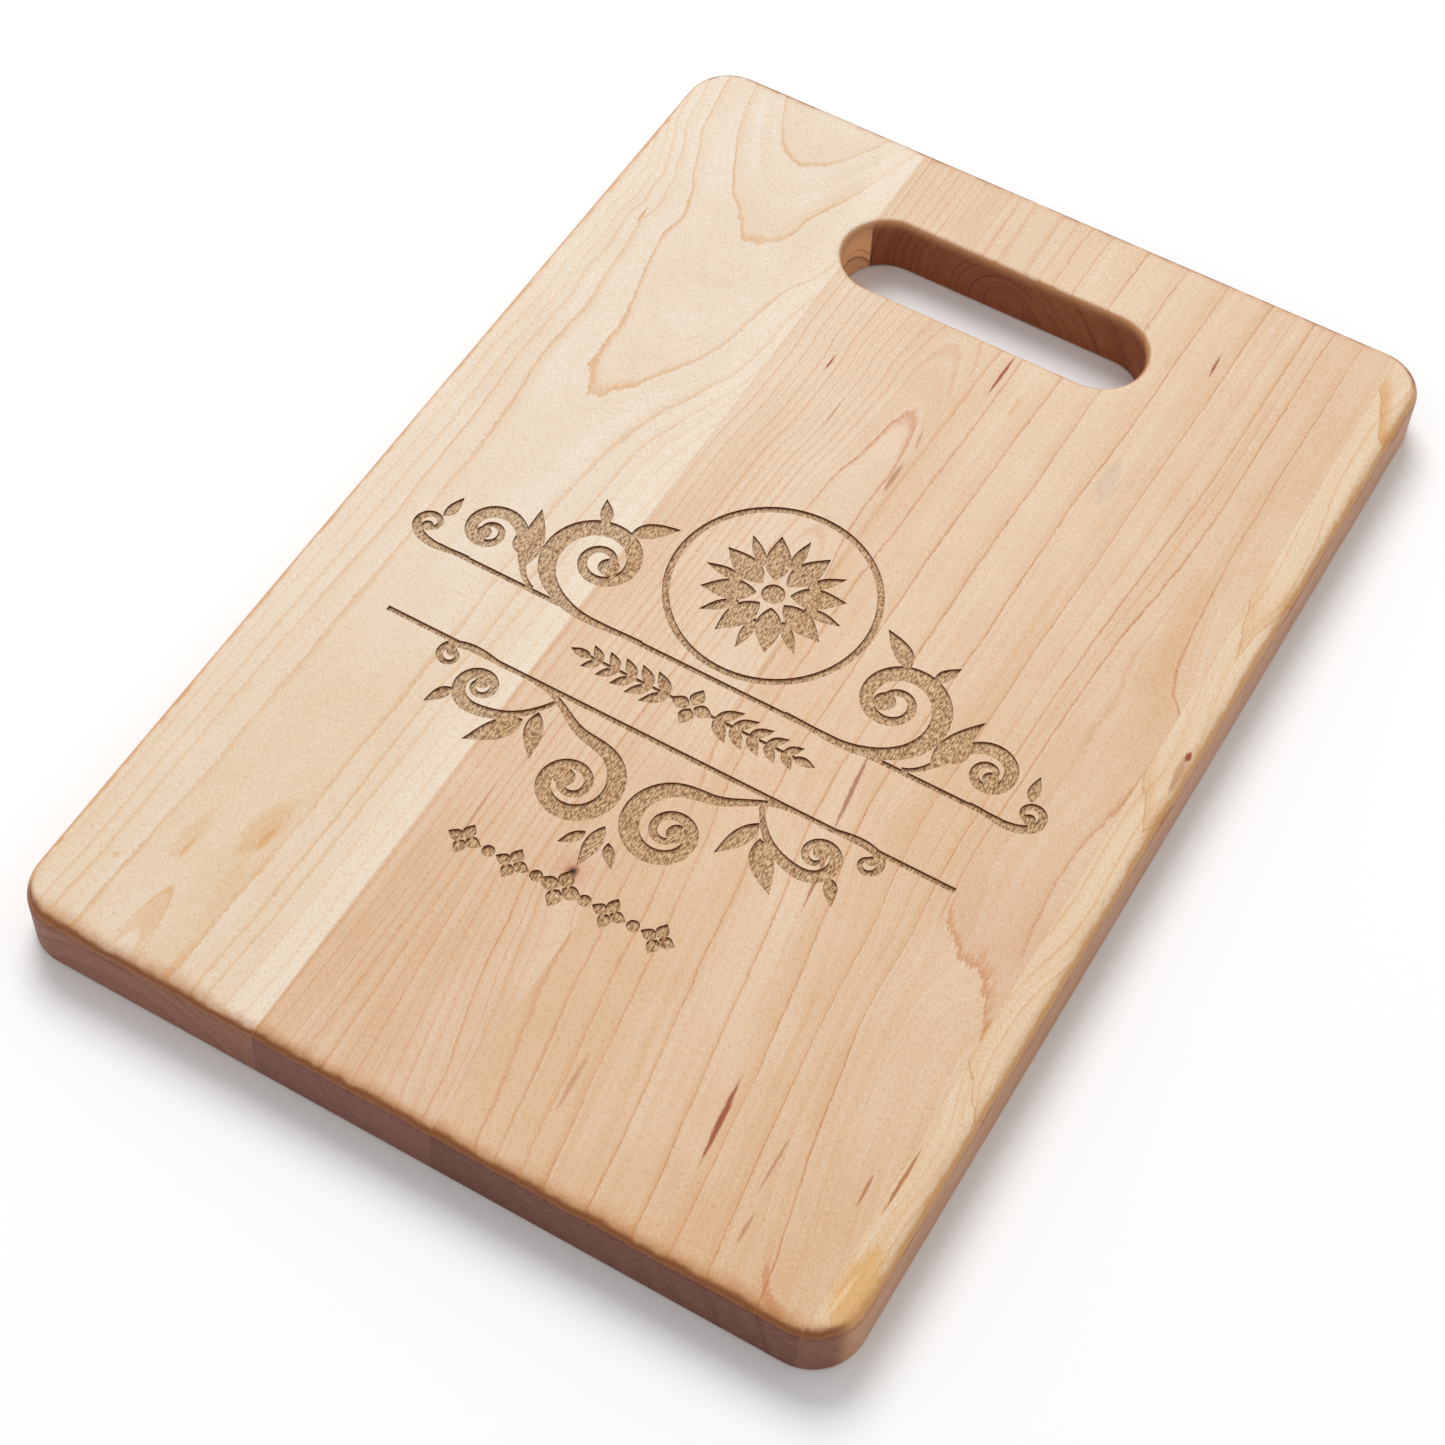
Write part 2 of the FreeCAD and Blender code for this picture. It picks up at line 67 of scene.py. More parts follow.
class Graph:
    """Builds a material's nodes. Any input may be a number, a tuple or another node's output."""

    def __init__(self, name):
        self.material = bpy.data.materials.new(name)
        self.material.use_nodes = True
        self.tree = self.material.node_tree
        self.tree.nodes.clear()

    def node(self, kind, **settings):
        made = self.tree.nodes.new(kind)
        for name, value in settings.items():
            setattr(made, name, value)
        return made

    def feed(self, socket, value):
        if isinstance(value, bpy.types.NodeSocket):
            self.tree.links.new(value, socket)
        else:
            socket.default_value = value

    def math(self, operation, *values):
        made = self.node("ShaderNodeMath", operation=operation)
        for socket, value in zip(made.inputs, values):
            self.feed(socket, value)
        return made.outputs[0]

    def total(self, first, *rest):
        for value in rest:
            first = self.math("ADD", first, value)
        return first

    def less(self, first, second):
        return self.math("SUBTRACT", first, second)

    def times(self, first, *rest):
        for value in rest:
            first = self.math("MULTIPLY", first, value)
        return first

    def ramp(self, value, low, high, start=0.0, end=1.0, smooth=True):
        """value from low to high becomes start to end, and holds at both ends."""
        kind = "SMOOTHSTEP" if smooth else "LINEAR"
        made = self.node("ShaderNodeMapRange", interpolation_type=kind)
        settings = (("From Min", low), ("From Max", high), ("To Min", start), ("To Max", end))
        for name, setting in settings:
            self.feed(made.inputs[name], setting)
        self.feed(made.inputs["Value"], value)
        return made.outputs["Result"]

    def inside(self, value, low, high, soft):
        """1 between low and high, fading to 0 over soft outside them."""
        return self.times(self.ramp(value, low - soft, low),
                          self.ramp(value, high, high + soft, 1.0, 0.0))

    def curve(self, value, points, straight=False):
        """The result at value of a line through (value, result) points, held at both ends."""
        points = sorted(points)
        first, last = points[0][0], points[-1][0]
        results = [result for _, result in points]
        low = min(results)
        high = max(max(results), low + 1e-6)
        made = self.node("ShaderNodeFloatCurve")
        line = made.mapping.curves[0]
        places = [((at - first) / (last - first), (result - low) / (high - low))
                  for at, result in points]
        line.points[0].location = places[0]
        line.points[1].location = places[-1]
        for place in places[1:-1]:
            line.points.new(*place)
        for point in line.points:
            point.handle_type = "VECTOR" if straight else "AUTO_CLAMPED"
        made.mapping.update()
        self.feed(made.inputs["Value"], self.ramp(value, first, last, smooth=False))
        return self.ramp(made.outputs[0], 0.0, 1.0, low, high, smooth=False)

    def vector(self, x, y, z):
        made = self.node("ShaderNodeCombineXYZ")
        for socket, value in zip(made.inputs, (x, y, z)):
            self.feed(socket, value)
        return made.outputs[0]

    def split(self, vector):
        made = self.node("ShaderNodeSeparateXYZ")
        self.feed(made.inputs[0], vector)
        return made.outputs

    def scaled(self, vector, factor):
        made = self.node("ShaderNodeVectorMath", operation="SCALE")
        self.feed(made.inputs[0], vector)
        made.inputs["Scale"].default_value = factor
        return made.outputs[0]

    def noise(self, vector, detail=2.0, rough=0.5):
        """Smooth noise from about -1 to 1, one wave to each unit of the vector."""
        made = self.node("ShaderNodeTexNoise", noise_dimensions="3D")
        self.feed(made.inputs["Vector"], vector)
        made.inputs["Scale"].default_value = 1.0
        made.inputs["Detail"].default_value = detail
        made.inputs["Roughness"].default_value = rough
        return self.ramp(made.outputs[0], 0.2, 0.8, -1.0, 1.0, smooth=False)

    def mix(self, factor, first, second, blend="MIX"):
        made = self.node("ShaderNodeMix", data_type="RGBA", blend_type=blend, clamp_factor=True)
        self.feed(made.inputs[0], factor)
        self.feed(made.inputs[6], first)
        self.feed(made.inputs[7], second)
        return made.outputs[2]

    def finish(self, colour, roughness, height, relief, gloss=0.5):
        """The shader. relief is how far height 0 to 1 stands proud, in millimetres."""
        bump = self.node("ShaderNodeBump")
        bump.inputs["Distance"].default_value = relief * MM
        self.feed(bump.inputs["Height"], height)
        shader = self.node("ShaderNodeBsdfPrincipled")
        self.feed(shader.inputs["Base Color"], colour)
        self.feed(shader.inputs["Roughness"], roughness)
        self.feed(shader.inputs["Normal"], bump.outputs[0])
        shader.inputs["Specular IOR Level"].default_value = gloss
        output = self.node("ShaderNodeOutputMaterial")
        self.tree.links.new(shader.outputs[0], output.inputs[0])
        return self.material


# ---- wood -----------------------------------------------------------------------------------

# Each stave was sawn from its own log. Per stave:
#   centre  where the log's pith runs, as (along, across)
#   depth   how far under the top face the pith runs, as (along, deep)
#   rings   radius of each growth ring's dark border, and how strongly it shows
#   leans   how far the grain leans to the right, as (along, shift), and from which across to which
#           across that leaning sets in
#   plain   rings of more than this radius don't show in front of this along
#   jag     how jagged the figure is over the pith
#   waves   how far the rings wander, as a share of the waves that all staves have
#   spread  how strongly the bands that follow the rings show
#   marks   mineral streaks and flecks: across, along, half width, half length, slant in degrees,
#           colour, strength
# and the colours of its open wood, its denser wood, its ring borders, its end grain and its end grain
# inside the hand hole. The end grain colour is darkened partly by oil and partly as painted shade.
AMBER = srgb(206, 142, 52)
RUST = srgb(146, 54, 8)
BROWN = srgb(162, 86, 30)

STAVES = {
    "pale_maple": {
        "seed": 3.0,
        "centre": [(0, 34.5), (50, 36), (100, 36), (160, 37), (208, 38), (222, 39.4), (240, 43.4),
                   (258, 46.2), (276, 45.4), (291, 48.5), (297, 49.2), (312, 45.6), (330, 45),
                   (356, 45.5)],
        "depth": [(0, 42.9), (100, 43.0), (190, 42.8), (210, 42.2), (222, 41), (255, 38),
                  (297, 33), (330, 25.2), (356, 16.6)],
        "rings": [(8, 0.1), (16.5, 0.6), (25.2, 0.85), (33, 1.0), (41, 1.0), (45.6, 0.75), (48.5, 0.7),
                  (50.6, 0.6), (53.3, 0.55), (56.4, 0.55), (60, 0.5), (64, 0.5)],
        "leans": [([(0, 0), (222, 0), (240, -1.2), (258, -2.6), (276, 0.3), (291, -1), (297, -1),
                    (312, 2.5), (330, 0), (356, 0)], (28, 12))],
        "plain": (200.0, 0.0),
        "jag": 0.36,
        "waves": 0.8,
        "marks": [(46.6, 49.5, 1.2, 5.0, 4, AMBER, 0.5), (44.5, 52, 4.5, 12, 10, AMBER, 0.32),
                  (46.5, 30, 3.0, 14, -4, AMBER, 0.18), (30.8, 36.5, 0.9, 4.5, 0, AMBER, 0.4),
                  (29.5, 40, 3.0, 10, 5, AMBER, 0.22), (15.7, 287, 0.4, 4.0, -3, AMBER, 0.8),
                  (16.6, 25.5, 1.2, 1.4, 0, AMBER, 0.35)],
        "open": srgb(229, 215, 199),
        "dense": srgb(217, 186, 148),
        "border": srgb(208, 152, 90),
        "end": srgb(146, 97, 78),
        # The hand hole colour is lighter than the end grain: partly the pale stave's own grain, partly
        # painted light.
        "hole": srgb(254, 194, 139),
        "spread": 0.18,
    },
    "pink_maple": {
        "seed": 17.0,
        "centre": [(0, 119), (100, 119), (190, 119), (215, 118.6), (240, 120.4), (262, 120.8),
                   (275, 119.5), (356, 118.5)],
        "depth": [(0, 3), (120, 3.4), (150, 4.6), (197, 7.2), (213, 8.9), (247, 10.4), (266, 11.6),
                  (292, 14.3), (300, 15.1), (356, 15.4)],
        "rings": [(2.4, 0.2), (4.7, 0.3), (7.2, 0.4), (8.9, 0.4), (11.6, 0.9), (14.3, 0.28),
                  (16.2, 0.45), (18.2, 0.5), (20.2, 0.35), (22.4, 0.5), (24.4, 0.4), (26.6, 0.55),
                  (29.5, 0.55), (32.0, 0.35), (34.2, 0.55), (36.8, 0.4), (39.2, 0.6), (43.0, 0.65),
                  (47, 0.5), (52, 0.5)],
        "leans": [([(0, 17), (20, 14), (60, 6), (100, 0), (356, 0)], (90, 122))],
        "plain": (200.0, 0.0),
        "jag": 0.2,
        "waves": 0.6,
        "marks": [(91.3, 266, 0.35, 3.6, 0, RUST, 0.9), (126.9, 238, 0.9, 6.5, -2, BROWN, 0.6),
                  (126.6, 254, 0.5, 5.0, -12, BROWN, 0.4), (101.2, 249, 0.3, 7.0, 0, BROWN, 0.5),
                  (88.0, 82, 0.4, 15, -3, BROWN, 0.5), (90.0, 110, 0.3, 10, -2, BROWN, 0.4),
                  (112, 197, 0.9, 3.0, 10, BROWN, 0.25), (126, 196, 1.2, 6.0, -14, BROWN, 0.25)],
        "open": srgb(226, 203, 178),
        "dense": srgb(208, 164, 122),
        "border": srgb(190, 104, 40),
        "end": srgb(128, 82, 72),
        "hole": srgb(152, 85, 49),
        "spread": 0.26,
    },
    "tan_maple": {
        "seed": 31.0,
        "centre": [(0, 121), (55, 113.5), (105, 106), (130, 101), (150, 99.6), (216, 99.6), (300, 101),
                   (356, 102.5)],
        "depth": [(0, 38), (120, 40), (356, 40)],
        "rings": [(38, 0.5), (42.5, 0.6), (45.5, 0.7), (49.9, 0.5), (54.3, 0.75), (63.6, 0.85),
                  (73.8, 0.85), (84.4, 0.9), (97.2, 1.0), (104.6, 0.3), (110.4, 1.0), (113.2, 0.4),
                  (116.2, 0.9), (119.2, 0.2), (124.4, 0.9), (136, 0.7), (145, 0.5)],
        "leans": [([(0, -6), (15, -6.5), (51, -9), (80, -9.5), (102, -7.6), (121, -5.4), (170, -3.6),
                    (207, -3), (232, -2), (257, -0.5), (295, 0.5), (356, -0.5)], (188, 203)),
                  ([(0, 0), (75, 0), (118, 16), (200, 18), (212, 14.8), (219, 13.4), (232, 10.7),
                    (252, 6.4), (285, 2), (356, 0)], (206, 232))],
        "plain": (112.0, 117.0),
        "jag": 0.0,
        "waves": 1.1,
        "marks": [(135.5, 287.5, 0.55, 9.0, 0.5, RUST, 0.9), (167.6, 140, 0.7, 15, -8, RUST, 0.7),
                  (172.6, 113, 0.6, 12, -8, RUST, 0.7), (186.5, 39.5, 0.9, 13.5, -7, RUST, 0.9),
                  (186.4, 323, 0.5, 5.5, -3, RUST, 0.8),
                  (179.2, 268, 3.0, 10, -6, srgb(190, 168, 152), 0.3),
                  (225.6, 41, 0.5, 5.5, -3, BROWN, 0.7), (144.0, 279, 0.7, 5.0, 0, AMBER, 0.35),
                  (150.3, 30, 0.8, 10, -4, BROWN, 0.4), (206.5, 262, 1.6, 40, 4, AMBER, 0.16),
                  (218, 235, 5.0, 22, -12, AMBER, 0.12), (203.5, 36, 0.5, 9, -2, BROWN, 0.5),
                  (206.0, 18, 0.6, 5, -3, BROWN, 0.5), (190, 75, 1.2, 22, -10, AMBER, 0.15)],
        "open": srgb(226, 201, 174),
        "dense": srgb(209, 164, 119),
        "border": srgb(184, 102, 38),
        "end": srgb(117, 73, 60),
        "hole": srgb(158, 92, 53),
        "spread": 0.24,
    },
    "sapwood_maple": {
        "seed": 47.0,
        "centre": [(0, 244), (50, 246), (95, 243.5), (130, 247), (185, 249), (240, 247), (300, 246),
                   (356, 249)],
        "depth": [(0, 9), (30, 5.5), (60, 9), (95, 4), (130, 8), (168, 4.5), (190, 10), (231, 6),
                  (262, 11), (324, 6), (342, 10), (356, 9)],
        "rings": [(3, 0.3), (6.4, 0.4), (9.6, 0.55), (13.4, 0.45), (17.5, 0.4), (22, 0.3)],
        "leans": [],
        "plain": (200.0, 0.0),
        "jag": 0.3,
        "waves": 0.7,
        "marks": [(238.2, 195.5, 0.9, 2.0, 0, RUST, 0.9), (238.0, 190, 1.2, 8.0, -4, BROWN, 0.5),
                  (232.0, 48, 0.6, 11, 0, BROWN, 0.8), (236, 18, 5.0, 14, 0, srgb(214, 158, 78), 0.6),
                  (234, 14, 0.8, 9, 6, srgb(236, 206, 160), 0.5)],
        "open": srgb(231, 210, 184),
        "dense": srgb(214, 175, 130),
        "border": srgb(198, 132, 66),
        "end": srgb(134, 87, 70),
        "hole": srgb(158, 92, 53),
        "spread": 0.22,
    },
}

# Amber tongues on the sapwood strip: across and along of the tip, how far an arm runs back for each
# millimetre it spreads, and how strong the tongue's filling is.
TONGUES = [(239.0, 320, 2.4, 0.55), (235.2, 230.6, 4.4, 0.25), (238.0, 168, 2.2, 0.3),
           (240.0, 71, 1.5, 0.1)]

# The mauve patch on the tan stave: its jagged front line, as (across, along).
PATCH_FRONT = [(203, 152), (205, 132), (207, 119), (211, 113.5), (215, 110), (220, 109), (225, 104),
               (228, 98), (230.5, 91)]
PATCH_WOOD = srgb(206, 158, 124)
PATCH_RUST = srgb(194, 118, 54)

# A narrow darker wedge at the front of the tan stave: its back line, as (across, along).
WEDGE_BACK = [(213, 20), (216, 11), (219, 6.5), (224, 4.5), (230, 3.5)]
WEDGE_WOOD = srgb(190, 120, 72)

# The pale stave is paler along its seam and its left side, and has a pointed tongue near the front.
PALER_WOOD = srgb(236, 222, 203)
POINT = (34.6, 24.0)

# The pin knot on the pink stave, as (across, along), and its swirl, its ring and its heart.
KNOT = (118.5, 81.2)
KNOT_SWIRL = srgb(196, 132, 88)
KNOT_RING = srgb(140, 72, 44)
KNOT_HEART = srgb(46, 26, 20)

TONGUE_LINE = srgb(190, 122, 62)

END_BURNISH = srgb(182, 117, 60)
END_SCORCH = srgb(118, 66, 42)
END_RING_SHADE = (0.5, 0.42, 0.38, 1.0)
SIDE_BURNISH = srgb(200, 140, 78)
# SIDE_SHADE darkens the upright sides: partly their own browner tone, partly painted shade.
SIDE_SHADE = (0.62, 0.39, 0.31, 1.0)
FLOOR_WOOD = srgb(180, 138, 94)
FLOOR_FIBRE = srgb(108, 66, 32)
FLOOR_SPECK = srgb(236, 206, 160)
FLOOR_LINE = srgb(104, 58, 26)
WALL_WOOD = srgb(114, 52, 18)


class Wood(Graph):
    """A stave's material. Positions on its rulers are nodes' outputs."""

    def __init__(self, slot, log):
        super().__init__(slot)
        self.slot = slot
        self.log = log
        coordinates = self.node("ShaderNodeTexCoord")
        self.x, self.y, self.z = self.split(self.scaled(coordinates.outputs["Object"], 1 / MM))
        self.across = self.less(self.x, LOW.x)
        self.along = self.less(self.y, LOW.y)
        self.deep = self.less(TOP, self.z)
        self.facing = [self.math("ABSOLUTE", axis) for axis in self.split(coordinates.outputs["Normal"])]

    def figure_noise(self, wide, long, detail=2.0, rough=0.5, shift=0.0):
        """Noise drawn out along the grain: wide and long are the size of its patches."""
        start = self.log["seed"] + shift
        return self.noise(self.vector(self.total(self.times(self.x, 1 / wide), start),
                                      self.total(self.times(self.y, 1 / long), start),
                                      self.times(self.z, 1 / wide)), detail, rough)

    def mark(self, across, along, half_wide, half_long, slant):
        """A soft lens on the top face, pointed along the grain."""
        turn = math.radians(slant)
        du = self.less(self.across, across)
        dv = self.less(self.along, along)
        u = self.less(self.times(du, math.cos(turn)), self.times(dv, math.sin(turn)))
        v = self.total(self.times(du, math.sin(turn)), self.times(dv, math.cos(turn)))
        u = self.math("ABSOLUTE", self.total(u, self.times(self.ragged, 0.35 * half_wide)))
        v = self.math("ABSOLUTE", self.total(v, self.times(self.ragged, 0.15 * half_long)))
        u = self.times(u, 1 / half_wide)
        v = self.times(v, 1 / half_long)
        near = self.total(u, self.times(v, v))
        return self.ramp(near, 0.45, 1.25, 1.0, 0.0)

    def rings(self):
        """Ring shading from 0, open wood, to 1, and the sharp ring borders from 0 to 1."""
        log = self.log
        middle = self.curve(self.along, log["centre"])
        for shift, (from_across, to_across) in log["leans"]:
            share = self.ramp(self.across, from_across, to_across, smooth=False)
            middle = self.total(middle, self.times(self.curve(self.along, shift), share))
        self.sideways = self.less(self.across, middle)
        self.under = self.total(self.curve(self.along, log["depth"]), self.times(self.deep, -1))
        radius = self.math("SQRT", self.total(self.times(self.sideways, self.sideways),
                                              self.times(self.under, self.under)))
        waves = self.total(self.times(self.figure_noise(26, 110, 1.0), 0.8),
                           self.times(self.figure_noise(7, 34, 2.0, 0.6, 5.0), 0.4),
                           self.times(self.figure_noise(1.6, 5.0, 2.0, 0.6, 9.0), 0.2))
        radius = self.total(radius, self.times(waves, log["waves"]), self.times(self.fuzz, 0.07))
        if log["jag"]:
            over_pith = self.ramp(self.math("ABSOLUTE", self.sideways), 4, 17, 1.0, 0.12)
            zigzag = self.figure_noise(4.2, 34, 3.0, 0.7, 13.0)
            radius = self.total(radius, self.times(zigzag, over_pith, log["jag"]))
        self.radius = radius

        radii = [ring for ring, _ in log["rings"]]
        order = [(ring, index) for index, ring in enumerate(radii)]
        gaps = [((low + high) / 2, high - low) for low, high in zip(radii, radii[1:])]
        count = self.curve(radius, order, straight=True)
        part = self.math("FRACT", count)
        gap = self.curve(radius, gaps, straight=True)
        widest, front = log["plain"]
        hidden = self.times(self.ramp(radius, widest - 0.4, widest + 0.4),
                            self.ramp(self.along, front - 3, front + 3, 1.0, 0.0))
        strength = self.times(self.curve(radius, log["rings"], straight=True), self.less(1.0, hidden))
        to_next = self.times(self.less(1.0, part), gap)
        from_last = self.times(part, gap)
        border = self.math("MAXIMUM", self.ramp(to_next, 0.0, 0.55, 1.0, 0.0),
                           self.ramp(from_last, 0.0, 0.18, 1.0, 0.0))
        ground = self.times(self.math("POWER", part, 2.4), strength)
        fade = self.ramp(self.figure_noise(9, 70, 1.0, 0.5, 21.0), -0.8, 0.7, 0.55, 1.0)
        dotted = self.ramp(self.figure_noise(0.5, 1.3, 1.0, 0.5, 25.0), -0.5, 0.5, 0.6, 1.0)
        return ground, self.times(border, strength, fade, dotted)

    def build(self):
        """The finished material: the wood first, then its edges and the engraving."""
        self.fuzz = self.figure_noise(0.34, 1.1, 2.0, 0.6, 2.0)
        self.ragged = self.figure_noise(0.9, 3.5, 3.0, 0.65, 7.0)
        self.ground, self.border = self.rings()
        colour = self.open_wood()
        colour = self.special(colour)
        colour = self.fibres(colour)
        colour = self.edges(colour)
        colour = self.engraving(colour)

        roughness = self.total(0.44, self.times(self.fuzz, 0.05), self.times(self.on_end_grain, 0.12),
                               self.times(self.floor, 0.3), self.times(self.clouds, 0.03))
        height = self.total(0.5, self.times(self.fuzz, 0.16), self.times(self.peel, 0.22),
                            self.times(self.pores, -0.25), self.times(self.border, -0.15),
                            self.times(self.floor, self.hatch, 1.2))
        return self.finish(colour, roughness, height, 0.04, 0.18)

    def open_wood(self):
        """Broad clouds, the bands that follow the rings, painted shade towards the front end, the ring
        borders and the marks.
        """
        log = self.log
        self.clouds = self.total(self.figure_noise(30, 120, 2.0, 0.5, 27.0),
                                 self.times(self.figure_noise(12, 18, 2.0, 0.5, 29.0), 0.5))
        bands = self.noise(self.vector(self.times(self.radius, 0.55), self.times(self.along, 1 / 160),
                                       log["seed"]), 3.0, 0.6)
        self.fine_bands = self.noise(self.vector(self.times(self.radius, 2.2),
                                                 self.times(self.along, 1 / 60),
                                                 log["seed"] + 4), 2.0, 0.6)
        # The top face turns darker towards the front end: painted shade.
        painted_shade_to_front = self.ramp(self.along, 250, 0, smooth=False)
        tone = self.total(self.times(self.clouds, 0.2), self.times(bands, log["spread"]),
                          self.times(painted_shade_to_front, 0.36), self.times(self.fine_bands, 0.14),
                          self.times(self.ground, 0.24), 0.24)
        colour = self.mix(tone, log["open"], log["dense"])
        colour = self.mix(self.times(self.border, 0.84), colour, log["border"])
        shallow = self.ramp(self.deep, 1.0, 5.0, 1.0, 0.0)
        for across, along, half_wide, half_long, slant, tint, strength in log["marks"]:
            lens = self.mark(across, along, half_wide, half_long, slant)
            colour = self.mix(self.times(lens, shallow, strength), colour, tint)
        return colour

    def fibres(self, colour):
        """Fibres and pores: short darker dashes along the grain."""
        self.pores = self.ramp(self.figure_noise(0.36, 1.8, 1.0, 0.5, 33.0), 0.2, 0.75)
        self.peel = self.figure_noise(0.5, 1.2, 2.0, 0.7, 39.0)
        weave = self.total(self.times(self.fuzz, 1.3), self.times(self.peel, 0.35),
                           self.times(self.pores, -1.0))
        fibre = self.node("ShaderNodeCombineColor")
        for socket, effect in zip(fibre.inputs, (0.07, 0.15, 0.25)):
            self.feed(socket, self.total(1.0, self.times(weave, effect)))
        return self.mix(1.0, colour, fibre.outputs[0], "MULTIPLY")

    def end_grain(self, in_hole):
        """End grain soaks up oil and is darker, partly as painted shade, with pale radial flecks and
        dark rings.
        """
        log = self.log
        turn = self.times(self.math("ARCTAN2", self.sideways, self.under), 230)
        rays = self.noise(self.vector(turn, self.times(self.radius, 1 / 5), log["seed"]), 1.0)
        # Inside the hand hole the walls take the hole colours, which on the pale stave hold painted
        # light.
        end_wood = self.mix(in_hole, log["end"], log["hole"])
        pale_end = self.mix(0.22, end_wood, log["open"])
        end_tone = self.mix(self.ramp(rays, -0.2, 0.8, 0.0, 0.45), end_wood, pale_end)
        fine_rings = self.ramp(self.fine_bands, -0.2, 0.8)
        grained = self.total(self.border, self.times(self.ground, 0.5), self.times(fine_rings, 0.65))
        grained = self.times(grained, self.ramp(in_hole, 0.0, 1.0, 0.55, 1.0))
        return self.mix(grained, end_tone, END_RING_SHADE, "MULTIPLY")

    def edges(self, wood):
        """Burnished roundings, scorched end rims, and darker sides, ends and hand hole, darkened partly
        as painted shade.
        """
        facing_x, facing_y, facing_z = self.facing
        in_hole = self.times(self.inside(self.along, *HOLE_ALONG, 0.5),
                             self.inside(self.across, *HOLE_ACROSS, 0.5))
        outside = self.ramp(self.deep, 0.0, 0.3)
        flat_part = self.math("SQRT", self.total(self.times(facing_x, facing_x),
                                                 self.times(facing_y, facing_y)))
        to_end = self.math("DIVIDE", facing_y, self.math("MAXIMUM", flat_part, 0.001))
        on_end = self.math("MAXIMUM", self.ramp(to_end, 0.3, 0.7), in_hole)

        # turned falls from 1 on a flat face to 0 on an upright one, and wavers. The hole's rim darkens
        # more slowly than the board's, and the top of the hole's wall stays lighter as a painted light
        # band.
        wavy = self.total(self.times(self.figure_noise(16, 16, 2.0, 0.6, 45.0), 0.12),
                          self.times(self.figure_noise(3.5, 3.5, 3.0, 0.6, 47.0), 0.08))
        turned = self.total(facing_z, wavy)
        burnished = self.times(self.ramp(turned, 0.72, 0.995, 1.0, 0.0), outside)
        fully_upright = self.ramp(in_hole, 0.0, 1.0, 0.42, 0.0)
        still_flat = self.ramp(in_hole, 0.0, 1.0, 0.7, 0.97)
        upright = self.ramp(turned, fully_upright, still_flat, 1.0, 0.0)
        painted_light_at_hole_rim = self.ramp(in_hole, 0.0, 1.0, 1.0, 0.3)
        upright = self.times(upright, self.ramp(self.deep, 0.3, 4.0, painted_light_at_hole_rim, 1.0))
        scorched = self.times(self.inside(turned, 0.7, 0.76, 0.21), on_end, outside,
                              self.less(1.0, in_hole))

        # The top face browns towards the front and back ends.
        from_back = self.less(HIGH.y - LOW.y, self.along)
        near_front = self.ramp(self.total(self.along, self.times(wavy, 14.0)), 1.0, 6.5, 0.62, 0.0)
        near_back = self.ramp(self.total(from_back, self.times(wavy, 8.0)), 1.0, 4.2, 0.42, 0.0)
        colour = self.mix(self.math("MAXIMUM", near_front, near_back), wood, END_BURNISH)
        colour = self.mix(self.times(burnished, 0.8), colour,
                          self.mix(on_end, SIDE_BURNISH, END_BURNISH))

        self.on_end_grain = self.times(upright, on_end)
        streaks = self.ramp(self.figure_noise(0.9, 24, 3.0, 0.65, 71.0), -0.6, 0.7, 0.75, 1.0)
        # Upright sides are darkened by SIDE_SHADE, partly their own tone and partly painted shade.
        side_tone_and_painted_shade = self.mix(self.times(upright, streaks), wood, SIDE_SHADE, "MULTIPLY")
        colour = self.mix(self.times(upright, self.less(1.0, on_end)), colour, side_tone_and_painted_shade)
        colour = self.mix(self.on_end_grain, colour, self.end_grain(in_hole))
        return self.mix(self.times(scorched, 0.75), colour, END_SCORCH)

    def engraving(self, colour):
        """A hatched floor and scorched walls where the top face is cut."""
        carved = self.times(self.inside(self.x, *CARVED_X, 0.01), self.inside(self.y, *CARVED_Y, 0.01))
        above = self.ramp(self.deep, CUT_DEPTH + 0.1, CUT_DEPTH + 0.2, 1.0, 0.0)
        carved = self.times(carved, above)
        on_floor = self.ramp(self.deep, CUT_DEPTH - 0.06, CUT_DEPTH - 0.02)
        self.floor = self.times(carved, on_floor)
        wall = self.times(carved, self.ramp(self.deep, 0.0, 0.05), self.less(1.0, on_floor))
        self.hatch = self.figure_noise(0.4, 1.4, 2.0, 0.6, 57.0)
        dug = self.mix(0.7, colour, FLOOR_WOOD)
        dug = self.mix(self.ramp(self.hatch, 0.0, 0.35, 0.0, 0.8), dug, FLOOR_FIBRE)
        dug = self.mix(self.ramp(self.hatch, -0.05, -0.4, 0.0, 0.7), dug, FLOOR_SPECK)
        dug = self.mix(self.times(self.border, 0.6), dug, FLOOR_LINE)
        colour = self.mix(self.times(self.floor, 0.95), colour, dug)
        return self.mix(wall, colour, WALL_WOOD)

    def special(self, colour):
        """Figure that only one stave has."""
        own_figure = {"pale_maple": self.pale_figure, "pink_maple": self.pink_figure,
                      "tan_maple": self.tan_figure, "sapwood_maple": self.sapwood_figure}
        return own_figure[self.slot](colour)

